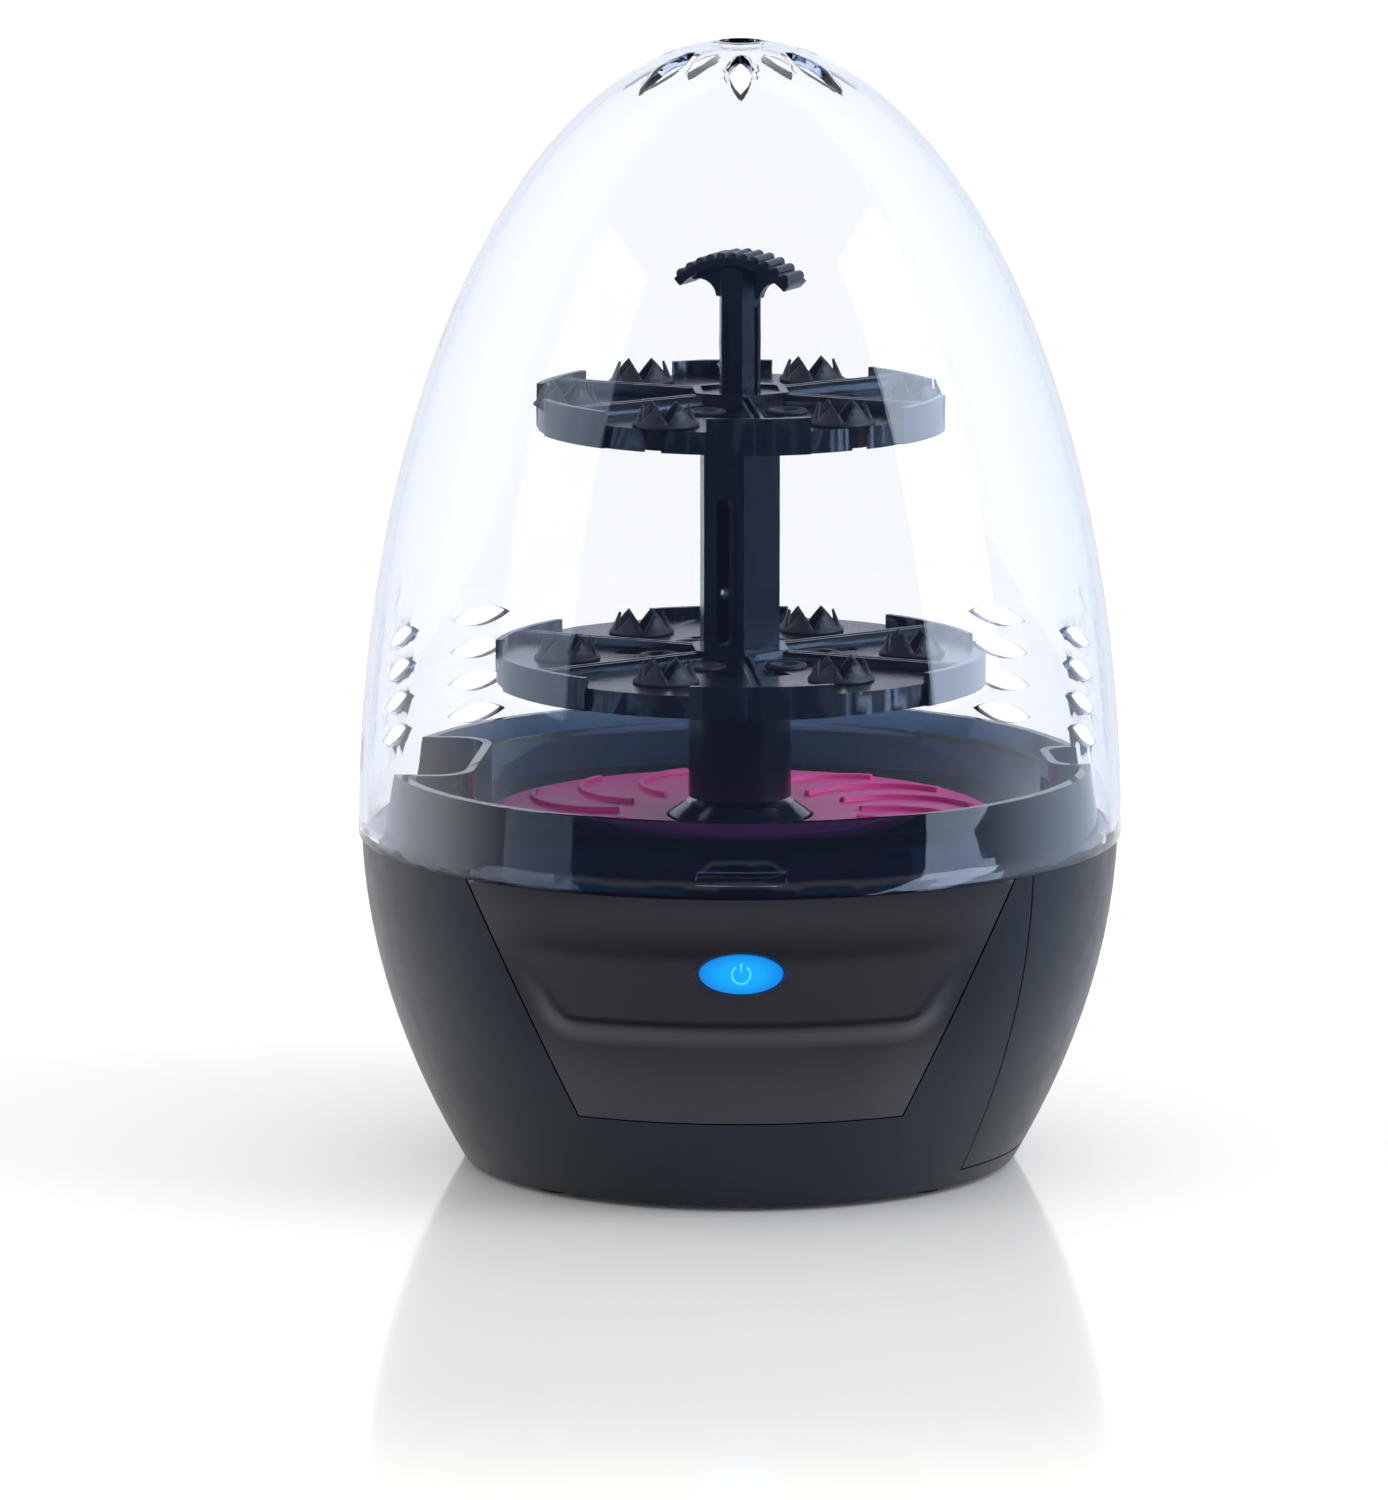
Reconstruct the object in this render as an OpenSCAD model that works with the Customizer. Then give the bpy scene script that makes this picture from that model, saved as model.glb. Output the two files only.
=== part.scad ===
// Make-up brush cleaner: an egg-shaped table appliance.
// Z is up, the front faces -Y, the origin is the middle of the face it stands on.
// Azimuths are counted from the front (-Y) towards the right (+X).

/* [Base casing] */
// Height of the seam between casing and dome
base_h = 96; // [92:0.5:100]
// Radius of the casing at the seam
base_top_r = 109; // [108:0.5:109.5]
// Wall thickness of the casing
wall = 3; // [2.5:0.1:3.2]
// Linear draft of the casing's side
side_draft = 0.035; // [0.02:0.005:0.05]
// Curvature of the casing's side
side_curve = 0.0029; // [0.0025:0.0001:0.0030]
// Half angle of the side cover
cover_half = 40.5; // [35:0.5:45]

/* [Front panel] */
// Half width of the front panel at the seam
panel_top = 78; // [72:0.5:80]
// Half width of the front panel at its lower edge
panel_low = 46; // [42:0.5:50]
// Height of the front panel's lower edge
panel_z = 28; // [24:0.5:32]
// Height at which the raised plateau ends
plateau_z = 56; // [52:0.5:60]
// Height of the push button's centre
button_z = 74; // [70:0.5:75]
// Long half axis of the push button
button_a = 11.7; // [10:0.1:12]
// Short half axis of the push button
button_b = 5.5; // [5:0.1:6]

/* [Dome] */
// Outer radius of the dome at its foot
dome_r = 110; // [109.5:0.1:111]
// Height of the dome above the seam
dome_h = 229; // [226:1:235]
// Wall thickness of the dome
dome_wall = 2.5; // [2:0.1:2.8]
// Number of petal vents round the crown
petals = 7; // [5:1:8]

/* [Basin] */
// Height of the basin's rim
rim_z = 116; // [114:0.5:118]
// Outer radius of the basin's rim
rim_r = 101; // [100:0.5:102]
// Radius of the washing disc
disc_r = 73.5; // [70:0.5:73.5]
// Radius of the centre post
post_r = 10; // [9:0.1:10.4]

/* [Brush holder] */
// Turn of the holder about the vertical axis
holder_turn = 5; // [0:1:10]
// Radius from the axis to the large brush sockets
station_r = 49.8; // [49:0.1:50]
// Radius from the axis to the small brush sockets
inner_r = 23; // [22:0.5:24]
// Underside of the lower tray
low_z = 140; // [139:0.5:142]
// Underside of the upper tray
top_z = 213.5; // [212:0.5:214]
// Outer radius of the lower tray's rim plates
low_r = 71.3; // [70:0.1:72]
// Outer radius of the upper tray's rim plates
top_r = 59.6; // [59:0.1:61]
// Height of the highest point of the lifting handle
grip_z = 264; // [262:0.5:266]

/* [Drive] */
// Gear module
gear_m = 1.25; // [1.25:0.05:1.25]
// Teeth on the rotor gear
gear_n = 48; // [48:1:48]
// Teeth on the motor pinion
pinion_n = 16; // [16:1:16]

/* [Hidden] */
$fn = 96;

eps = 0.01;
gap = 0.3;
seam_gap = 0.4;
stations = 6;
sector = 360 / stations;
shell_z = 2;
cover_z = 7;
deck_z = 80;
floor_z = 91;
carrier_z = 92;
pad_z = 97;
gear_z = 40;
gear_t = 6;
plate_z = 31;
shaft_r = 3;
magnet_r = 6;
magnet_ring = 30;
post_top = 134;
column_r = 12.6;
bore_r = 9.6;
mast_r = 6.5;
tray_floor = 4.5;
tray_sheet = 2;
low_plate_h = 9.5;
top_plate_h = 10.5;
socket_r = 8.9;
small_r = 5;
board_y = -93;
pinion_y = gear_m * (gear_n + pinion_n) / 2;

// Radius of the casing at height z
function base_r(z) = base_top_r - side_draft * (base_h - z) - side_curve * pow(base_h - z, 2);

// Radius of the front panel's plateau at height z
function plateau_r(z) = base_top_r - 0.0875 * (base_h - z);

// Radius of an ellipse with half axes a and h at height z above its widest place
function egg_r(a, h, z) = a * sqrt(max(0, 1 - pow(z / h, 2)));

// Half width of the front panel at height z
function panel_w(z) = panel_low + (panel_top - panel_low) * (z - panel_z) / (base_h - panel_z);

// Evenly spaced numbers from a to b
function steps(a, b, n) = [for (i = [0 : n]) a + (b - a) * i / n];

// The same list from its end to its start
function turned(list) = [for (i = [len(list) - 1 : -1 : 0]) list[i]];

// A point at azimuth az and radius r
function at(az, r) = [r * sin(az), -r * cos(az), 0];

function ellipse_points(a, b) = [for (t = [0 : 7.5 : 352.5]) [a * cos(t), b * sin(t)]];

// Turns a shape modelled along +X so that it points to azimuth az
module face(az) { rotate([0, 0, az - 90]) children(); }

module ring(r1, r2, z1, z2) {
    translate([0, 0, z1]) difference() {
        cylinder(r = r2, h = z2 - z1);
        translate([0, 0, -1]) cylinder(r = r1, h = z2 - z1 + 2);
    }
}

// Ring sector of half angle half, centred on +X
module arc_wall(r1, r2, z1, z2, half) {
    rotate([0, 0, -half]) rotate_extrude(angle = 2 * half)
        polygon([[r1, z1], [r2, z1], [r2, z2], [r1, z2]]);
}

// Upright prism standing on the XZ outline given by its children, seen from the front
module front_prism(y1, y2) {
    translate([0, y2, 0]) rotate([90, 0, 0]) linear_extrude(height = y2 - y1) children();
}

// ---------------------------------------------------------------- casing

// Side wall of the casing between two heights, t thick, moved outwards by grow
module side_wall(z1, z2, t, grow = 0) {
    zs = steps(z1, z2, 18);
    rotate_extrude() polygon(concat(
        [for (z = zs) [base_r(z) + grow, z]],
        [for (z = turned(zs)) [base_r(z) - t, z]]));
}

module panel_outline(margin) {
    polygon([[-panel_w(panel_z) + margin, panel_z + margin],
        [panel_w(panel_z) - margin, panel_z + margin],
        [panel_w(base_h + 4) - margin, base_h + 4],
        [-panel_w(base_h + 4) + margin, base_h + 4]]);
}

module cover_window(margin, z1, z2, t) {
    zs = steps(z1, z2, 12);
    rotate([0, 0, -cover_half - margin]) rotate_extrude(angle = 2 * (cover_half + margin))
        polygon(concat([for (z = zs) [base_r(z) - t, z]], [for (z = turned(zs)) [base_r(z) + 12, z]]));
}

module base_shell() {
    ledge_z = 87;
    color([0.10, 0.10, 0.12]) difference() {
        union() {
            side_wall(shell_z, base_h - seam_gap, wall);
            ring(98, 105.2, ledge_z, ledge_z + 3);
            ring(73, base_r(6) - 1, 4.5, 6.5);
        }
        front_prism(-130, -60) panel_outline(0);
        cover_window(0.25, cover_z - gap, base_h + 2, wall + 0.5);
        translate([0, 100, 20]) rotate([90, 0, 0]) cylinder(r = 6, h = 30);
    }
}

module front_panel() {
    zs = steps(panel_z, base_h - seam_gap, 16);
    ps = steps(plateau_z, base_h - seam_gap, 6);
    chamfer = 6;
    corner = 12;
    color([0.17, 0.16, 0.17]) difference() {
        union() {
            intersection() {
                rotate_extrude() polygon(concat([for (z = zs) [base_r(z), z]],
                    [for (z = turned(zs)) [base_r(z) - wall, z]]));
                front_prism(-130, -60) panel_outline(gap);
            }
            intersection() {
                rotate_extrude() polygon(concat([[base_r(plateau_z - chamfer) - 1, plateau_z - chamfer],
                    [base_r(plateau_z - chamfer), plateau_z - chamfer]],
                    [for (z = ps) [plateau_r(z), z]],
                    [[base_top_r - wall, base_h - seam_gap]]));
                front_prism(-130, -60) polygon([[-panel_top + 2.5, base_h], [panel_top - 2.5, base_h],
                    [panel_w(plateau_z) - 9, plateau_z + 4],
                    [panel_w(plateau_z) - corner, plateau_z],
                    [panel_w(plateau_z) - corner - 3, plateau_z - chamfer],
                    [-panel_w(plateau_z) + corner + 3, plateau_z - chamfer],
                    [-panel_w(plateau_z) + corner, plateau_z],
                    [-panel_w(plateau_z) + 9, plateau_z + 4]]);
            }
        }
        translate([0, 0, button_z]) front_prism(-130, -60)
            polygon(ellipse_points(button_a + 1.5, button_b + 1.3));
    }
}

module access_cover() {
    zs = steps(cover_z, base_h - seam_gap, 12);
    color([0.10, 0.10, 0.12]) rotate([0, 0, -cover_half]) rotate_extrude(angle = 2 * cover_half)
        polygon(concat([for (z = zs) [base_r(z), z]], [for (z = turned(zs)) [base_r(z) - 2.5, z]]));
}

module at_feet() { for (az = [47, 133, 227, 313]) translate(at(az, 69)) children(); }

module at_posts() { for (az = [45 : 90 : 315]) translate(at(az, 54)) children(); }

module base_plate() {
    color([0.09, 0.09, 0.10]) difference() {
        translate([0, 0, shell_z]) cylinder(r = 76.4, h = 2.5);
        at_feet() translate([0, 0, shell_z - 1]) cylinder(r = 6.6, h = 1.8);
        at_posts() cylinder(r = 2.2, h = 10, $fn = 32);
        at_posts() translate([0, 0, 1]) cylinder(r = 4.3, h = 2.3, $fn = 32);
    }
}

module rubber_feet() {
    color([0.05, 0.05, 0.05]) at_feet() cylinder(r = 6.5, h = 2.8);
}

module base_screws() {
    color("silver") at_posts() {
        translate([0, 0, 2.2]) cylinder(r = 4, h = 1.1, $fn = 32);
        translate([0, 0, 3.2]) cylinder(r = 1.8, h = 12, $fn = 32);
    }
}

module deck() {
    color([0.07, 0.07, 0.08]) union() {
        rotate_extrude() polygon([[0, deck_z], [94.5, deck_z], [94.5, 90], [104.6, 90], [104.6, 92],
            [92, 92], [92, deck_z + 2.5], [0, deck_z + 2.5]]);
        ring(5, 8, deck_z - 3.8, deck_z + eps);
    }
}

module basin_gasket() { color([0.05, 0.05, 0.06]) ring(101.6, 104.2, 92, 96.4); }

// ---------------------------------------------------------------- inside the casing

module gear_plate() {
    color([0.35, 0.36, 0.38]) difference() {
        union() {
            translate([0, 0, plate_z]) cylinder(r = 62, h = 3);
            at_posts() translate([0, 0, 4.5]) cylinder(r = 5, h = plate_z - 4.5 + eps);
            translate([0, 0, plate_z - 2]) cylinder(r = 8, h = 7);
        }
        translate([0, 0, plate_z - 4]) cylinder(r = 5, h = 20);
        translate([0, pinion_y, plate_z - 1]) cylinder(r = 5.2, h = 5);
        for (x = [-9, 9]) translate([x, pinion_y, plate_z - 1]) cylinder(r = 1.6, h = 5, $fn = 32);
        at_posts() translate([0, 0, 4]) cylinder(r = 1.95, h = 14, $fn = 32);
    }
}

module lower_bush() { color([0.72, 0.55, 0.30]) ring(shaft_r + 0.05, 5, plate_z - 2, plate_z + 7); }

module upper_bush() { color([0.72, 0.55, 0.30]) ring(shaft_r + 0.05, 5, deck_z - 3.8, deck_z); }

module motor() {
    color([0.62, 0.63, 0.65]) translate([0, pinion_y, 0]) difference() {
        union() {
            translate([0, 0, 7]) cylinder(r = 14, h = plate_z - 7);
            translate([0, 0, 5.2]) cylinder(r = 9, h = 2);
            translate([0, 0, plate_z - eps]) cylinder(r = 5, h = 3.4);
        }
        translate([0, 0, plate_z - 6]) cylinder(r = 1.55, h = 12, $fn = 32);
        for (x = [-9, 9]) translate([x, 0, plate_z - 5]) cylinder(r = 1.5, h = 8, $fn = 32);
    }
}

module motor_screws() {
    color("silver") for (x = [-9, 9]) translate([x, pinion_y, 0]) {
        translate([0, 0, plate_z + 3]) cylinder(r = 2.6, h = 1.8, $fn = 32);
        translate([0, 0, plate_z - 4]) cylinder(r = 1.4, h = 7.1, $fn = 32);
    }
}

module board_bracket() {
    color([0.20, 0.20, 0.22]) union() {
        translate([-16, -73, 6.5]) cube([32, 2, 50]);
        translate([-16, -73, 6.5]) cube([32, 12, 2]);
        translate([-16, board_y + 1.6, 54.5]) cube([32, -71 - board_y - 1.6, 2]);
        translate([-16, board_y + 1.6, 54.5]) cube([32, 2, 24.5]);
    }
}

module control_board() {
    color([0.05, 0.30, 0.16]) translate([-25, board_y, 57]) cube([50, 1.6, 22]);
}

module button_switch() {
    color([0.12, 0.12, 0.13]) union() {
        translate([-3, board_y - 3.5, button_z - 3]) cube([6, 3.5, 6]);
        translate([0, board_y - 3.4, button_z]) rotate([90, 0, 0]) cylinder(r = 1.7, h = 1, $fn = 32);
    }
}

module button_lamp() {
    color([0.35, 0.75, 1]) for (x = [-10, 10]) translate([x - 1.5, board_y - 1.2, button_z - 1])
        cube([3, 1.2, 2]);
}

module power_inlet() {
    inlet_z = 20;
    color([0.08, 0.08, 0.09]) translate([0, base_r(inlet_z) + 0.5, inlet_z]) rotate([90, 0, 0]) {
        difference() {
            union() {
                cylinder(r = 5.8, h = 12, $fn = 48);
                translate([0, 0, 9]) cylinder(r = 8, h = 2.5, $fn = 48);
            }
            translate([0, 0, -1]) cylinder(r = 3.3, h = 10, $fn = 48);
        }
        translate([0, 0, 1.5]) cylinder(r = 1, h = 7.5, $fn = 32);
    }
}

// ---------------------------------------------------------------- push button

module button_bezel() {
    color([0.30, 0.31, 0.34]) intersection() {
        translate([0, 0, button_z]) front_prism(-112, -102.5) difference() {
            polygon(ellipse_points(button_a + 1.4, button_b + 1.2));
            polygon(ellipse_points(button_a + 0.25, button_b + 0.25));
        }
        cylinder(r = plateau_r(button_z) + 0.1, h = base_h, $fn = 180);
    }
}

module button_cap() {
    color([0.05, 0.45, 0.95]) union() {
        intersection() {
            translate([0, 0, button_z]) front_prism(-112, -101.5)
                polygon(ellipse_points(button_a, button_b));
            cylinder(r = plateau_r(button_z) + 0.5, h = base_h, $fn = 180);
        }
        translate([0, 0, button_z]) front_prism(-101.9, -100.6)
            polygon(ellipse_points(button_a + 1.6, button_b + 1.4));
        translate([0, -100.9, button_z]) rotate([-90, 0, 0]) cylinder(r = 2, h = 1.6, $fn = 32);
    }
}

// Helical spring along +Y swept as a tube with flat ends
module button_spring() {
    wire = 0.35;
    coil = 5.3;
    turns = 5;
    seg = 12;
    sides = 6;
    y1 = -100.5 + wire;
    y2 = board_y - wire;
    n = turns * seg;
    pts = [for (i = [0 : n], s = [0 : sides - 1])
        let (a = 360 * i / seg, b = 360 * s / sides, r = coil + wire * cos(b))
        [r * cos(a), y1 + (y2 - y1) * i / n + wire * sin(b), button_z + r * sin(a)]];
    tube = [for (i = [0 : n - 1], s = [0 : sides - 1])
        let (a = i * sides + s, b = i * sides + (s + 1) % sides)
        [a, b, b + sides, a + sides]];
    color("silver") polyhedron(points = pts, faces = concat([turned([for (s = [0 : sides - 1]) s])],
        tube, [[for (s = [0 : sides - 1]) n * sides + s]]));
}

// ---------------------------------------------------------------- drive

// Half angle of an involute tooth at radius r, for a gear with n teeth and base radius rb
function tooth_half(n, rb, r) = let (
        a20 = (tan(20) - 20 * PI / 180) * 180 / PI,
        al = acos(min(1, rb / max(r, rb))),
        ar = (tan(al) - al * PI / 180) * 180 / PI)
    90 / n - 0.09 * 180 / (PI * gear_m * n / 2) + a20 - ar;

function gear_points(n) = let (
        rp = gear_m * n / 2,
        rb = rp * cos(20),
        root = rp - 1.25 * gear_m,
        tip = rp + 0.9 * gear_m,
        low = max(rb, root + 0.1),
        rs = [root, low, (low + tip) / 2, tip])
    [for (k = [0 : n - 1]) each concat(
        [for (r = rs) let (a = k * 360 / n - tooth_half(n, rb, r)) [r * cos(a), r * sin(a)]],
        [for (r = turned(rs)) let (a = k * 360 / n + tooth_half(n, rb, r)) [r * cos(a), r * sin(a)]])];

module rotor_shaft() { color("silver") translate([0, 0, plate_z - 3]) cylinder(r = shaft_r, h = 51.8); }

module rotor_gear() {
    color([0.92, 0.90, 0.84]) difference() {
        union() {
            translate([0, 0, gear_z]) linear_extrude(height = gear_t) polygon(gear_points(gear_n));
            translate([0, 0, gear_z - 1.6]) cylinder(r = 7, h = gear_t + 6);
        }
        translate([0, 0, gear_z - 3]) cylinder(r = shaft_r, h = 20);
        for (a = [0 : 60 : 300]) rotate([0, 0, a]) translate([18, 0, gear_z - 1]) cylinder(r = 6, h = 9);
    }
}

module magnet_yoke() {
    color([0.45, 0.46, 0.48]) union() {
        ring(shaft_r, 39, 72, 75);
        ring(shaft_r, 7, 66, 72 + eps);
    }
}

module at_magnets() { for (a = [0 : 60 : 300]) rotate([0, 0, a]) translate([magnet_ring, 0, 0]) children(); }

module rotor_magnets() { color([0.70, 0.71, 0.74]) at_magnets() translate([0, 0, 75]) cylinder(r = magnet_r, h = 3); }

module motor_shaft() {
    color("silver") translate([0, pinion_y, plate_z - 5]) cylinder(r = 1.5, h = 21, $fn = 32);
}

module motor_pinion() {
    color([0.80, 0.62, 0.28]) translate([0, pinion_y, gear_z - 1]) difference() {
        rotate([0, 0, 180 / pinion_n]) linear_extrude(height = gear_t + 2) polygon(gear_points(pinion_n));
        translate([0, 0, -1]) cylinder(r = 1.5, h = 12, $fn = 32);
    }
}

// ---------------------------------------------------------------- basin and washing disc

basin_wall = 2.5;
flange_z = 96.6;
foot_z = 82.7;

// Outline of a finger recess: length d inwards from the rim, half width w, corner radius c
module recess(d, w, c) {
    x = rim_r - d;
    difference() {
        translate([x, -w]) square([60, 2 * w]);
        for (s = [-1, 1]) translate([x, s * w]) difference() {
            translate([-c, -c]) square(2 * c);
            translate([c, -s * c]) circle(r = c);
        }
    }
}

module basin_body() {
    rotate_extrude($fn = 144) polygon([[0, floor_z - basin_wall], [60, floor_z - basin_wall],
        [60, foot_z], [63, foot_z], [63, floor_z - basin_wall], [78.6, floor_z - basin_wall],
        [96.6, 106], [98.6, 106.6], [rim_r + 0.3, flange_z], [106.9, flange_z],
        [106.9, flange_z + 1.9], [rim_r + 2.5, flange_z + 1.9], [rim_r, rim_z],
        [rim_r - 2.8, rim_z], [96.4, 110.5], [94.6, 109.6], [78, 92.6], [76.6, floor_z], [0, floor_z]]);
}

module basin() {
    color([0.08, 0.13, 0.18, 0.75]) difference() {
        union() {
            basin_body();
            intersection() {
                rotate_extrude($fn = 144) polygon([[60, floor_z - 1], [80, floor_z - 1], [88, flange_z],
                    [rim_r - 1, flange_z], [rim_r - 1, rim_z], [60, rim_z]]);
                union() {
                    face(-95) linear_extrude(height = rim_z) recess(24 + basin_wall, 31 + basin_wall, 12);
                    face(95) linear_extrude(height = rim_z) recess(10 + basin_wall, 14 + basin_wall, 8);
                }
            }
        }
        translate([0, 0, flange_z + 1.9]) {
            face(-95) linear_extrude(height = 40) recess(24, 31, 10);
            face(95) linear_extrude(height = 40) recess(10, 14, 6.5);
        }
    }
}

module centre_post() {
    color([0.07, 0.10, 0.14]) rotate_extrude() polygon([[0, floor_z], [post_r, floor_z],
        [post_r, post_top - 4], [post_r - 4, post_top], [0, post_top]]);
}

module disc_carrier() {
    color([0.10, 0.10, 0.12]) difference() {
        rotate_extrude() polygon([[post_r + 0.35, carrier_z - 0.7], [16, carrier_z - 0.7], [16, carrier_z],
            [disc_r - 1.5, carrier_z], [disc_r - 0.5, pad_z], [20.5, pad_z], [20.5, 101],
            [15.5, 104.5], [post_r + 0.35, 104.5]]);
        at_magnets() translate([0, 0, carrier_z - 1]) cylinder(r = magnet_r + 0.05, h = 4);
    }
}

module disc_magnets() {
    color([0.70, 0.71, 0.74]) at_magnets() translate([0, 0, carrier_z]) cylinder(r = magnet_r, h = 2.95);
}

module cleaning_pad() {
    ridge_r = 26;
    color([0.85, 0.16, 0.50]) union() {
        rotate_extrude() polygon([[21, pad_z], [disc_r, pad_z], [disc_r, pad_z + 3],
            [disc_r - 1, pad_z + 3.5], [21, pad_z + 3.5]]);
        for (a = [0 : 24 : 336]) rotate([0, 0, a]) translate([45, 0, pad_z + 3]) rotate([0, 0, 20])
            rotate_extrude(angle = 110) translate([ridge_r - 3, 0]) square([1.8, 2]);
    }
}

// ---------------------------------------------------------------- brush holder

module hex(r, z1, z2) { translate([0, 0, z1]) rotate([0, 0, holder_turn - 90]) cylinder(r = r, h = z2 - z1, $fn = 6); }

// Slot outline, w wide, from z1 to z2, on the column's face
module slot(w, z1, z2, x1, x2) {
    face(holder_turn - sector / 2) translate([x1, 0, 0]) rotate([0, 90, 0]) rotate([0, 0, 90])
        linear_extrude(height = x2 - x1) {
            translate([-w / 2, z1 + w / 2]) square([w, z2 - z1 - w]);
            translate([0, z1 + w / 2]) circle(d = w, $fn = 32);
            translate([0, z2 - w / 2]) circle(d = w, $fn = 32);
        }
}

module column() {
    flat = column_r * cos(30);
    color([0.06, 0.06, 0.07]) difference() {
        union() {
            hex(column_r, low_z - 4, top_z + 9.5);
            translate([0, 0, 106]) cylinder(r = 14.8, h = low_z - 106);
            slot(7, 150.2, 195.5, flat - 1, flat + 0.7);
        }
        translate([0, 0, 105]) cylinder(r = post_r + 0.4, h = low_z - 3 - 105);
        hex(bore_r, low_z, top_z + 6);
        hex(mast_r + 0.35, low_z, top_z + 12);
        slot(4, 152, 193.5, 5, flat + 3);
    }
}

// One tray: plates of half angle half and height h round a rim of radius r, underside at z0
module tray(z0, r, half, h) {
    f1 = z0 + tray_floor;
    f2 = f1 + tray_sheet;
    difference() {
        union() {
            translate([0, 0, f1]) cylinder(r = r - 1.2, h = tray_sheet);
            ring(r - 2.8, r - 1.2, z0, f2);
            hex(15.4, z0, z0 + h);
            for (k = [0 : stations - 1]) face(holder_turn + k * sector) {
                arc_wall(r - 1.8, r, z0, z0 + h, half);
                for (y = [-1.8, 0.8]) translate([13, y, z0 + 1]) cube([r - 14.5, 1, h - 1.5]);
            }
        }
        hex(column_r + 0.1, z0 - 1, z0 + h + 1);
        for (k = [0 : stations - 1]) face(holder_turn + (k + 0.5) * sector) {
            translate([station_r, 0, z0 - 1]) cylinder(r = socket_r, h = h + 2);
            translate([inner_r, 0, z0 - 1]) cylinder(r = small_r, h = h + 2, $fn = 48);
            for (s = [-1, 1]) rotate([0, 0, s * 17]) arc_wall(26, 36, z0 - 1, z0 + h, 6);
        }
    }
}

module lower_tray() { color([0.06, 0.06, 0.07]) tray(low_z, low_r, 16.8, low_plate_h); }

module upper_tray() { color([0.06, 0.06, 0.07]) tray(top_z, top_r, 14.4, top_plate_h); }

// Soft collar with six pointed flaps that stand up round a brush
module crown() {
    tip_z = 13;
    root_z = 7.2;
    difference() {
        rotate_extrude($fn = 64) polygon([[7.4, 0.6], [8.6, 0.6], [8.6, 6.6], [9.5, 6.6], [9.5, 7.2],
            [8.8, 7.7], [6.5, tip_z], [5.7, tip_z], [7.6, 7.4], [7.4, 6.8]]);
        for (a = [0, 60, 120]) rotate([0, 0, a]) rotate([90, 0, 0]) linear_extrude(height = 40, center = true)
            polygon([[0, root_z + 0.6], [3.6, tip_z + 0.4], [-3.6, tip_z + 0.4]]);
    }
}

module crowns(z0) {
    for (k = [0 : stations - 1]) face(holder_turn + (k + 0.5) * sector)
        translate([station_r, 0, z0]) crown();
}

module lower_grips() { color([0.04, 0.04, 0.045]) crowns(low_z); }

module upper_grips() { color([0.04, 0.04, 0.045]) crowns(top_z); }

module small_grips() {
    color([0.04, 0.04, 0.045]) for (z0 = [low_z, top_z], k = [0 : stations - 1])
        face(holder_turn + (k + 0.5) * sector) translate([inner_r, 0, z0 + tray_floor + tray_sheet])
            rotate_extrude($fn = 48) polygon([[3.6, -2], [4.9, -2], [4.9, 0], [6.2, 0], [5.8, 0.9], [3.6, 0.9]]);
}

// ---------------------------------------------------------------- lifting handle

arch_r = 28;
arch_z = grip_z - arch_r;
bar = 4;
grip_az = holder_turn + sector;
pin_z = 166;

module mast() {
    color([0.06, 0.06, 0.07]) difference() {
        union() {
            hex(bore_r - 0.35, 160, 172);
            hex(mast_r, 171, arch_z + arch_r - bar - 0.6);
            face(grip_az) front_prism(-1.6, 1.6) difference() {
                intersection() {
                    translate([0, arch_z]) circle(r = arch_r - bar);
                    translate([-14.3, arch_z + 14.6]) square([28.6, 20]);
                }
                for (x = [-12.1, 12.1]) translate([x, arch_z + 14]) circle(r = 5.3);
            }
        }
        face(holder_turn - sector / 2) translate([mast_r * cos(30) - 0.8, -2.2, 176]) cube([3, 4.4, 72]);
        face(holder_turn + sector / 2) translate([mast_r * cos(30) - 0.8, -2.2, 176]) cube([3, 4.4, 72]);
        face(holder_turn - sector / 2) translate([2, 0, pin_z]) rotate([0, 90, 0]) cylinder(r = 1.7, h = 12, $fn = 32);
    }
}

module handle_grip() {
    half_arc = 43;
    width = 12;
    color([0.05, 0.05, 0.06]) face(grip_az) translate([0, 0, arch_z]) rotate([90, 0, 0]) union() {
        rotate([0, 0, 90 - half_arc]) rotate_extrude(angle = 2 * half_arc)
            polygon([[arch_r - bar, -width / 2], [arch_r - 1.3, -width / 2], [arch_r - 1.3, width / 2],
                [arch_r - bar, width / 2]]);
        for (a = [-37.5 : 7.5 : 37.5]) rotate([0, 0, 90 + a]) translate([arch_r - 1.5, 0, 0.4 - width / 2])
            cylinder(r = 1.5, h = width - 0.8, $fn = 24);
    }
}

module guide_pin() {
    color("silver") face(holder_turn - sector / 2) translate([2, 0, pin_z]) rotate([0, 90, 0])
        cylinder(r = 1.7, h = 9.2, $fn = 32);
}

// ---------------------------------------------------------------- dome

// Pointed oval outline, long along X
module lens(length, width) {
    arc = (length * length + width * width) / (4 * width);
    intersection_for (s = [-1, 1]) translate([0, s * (arc - width / 2)]) circle(r = arc);
}

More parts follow.
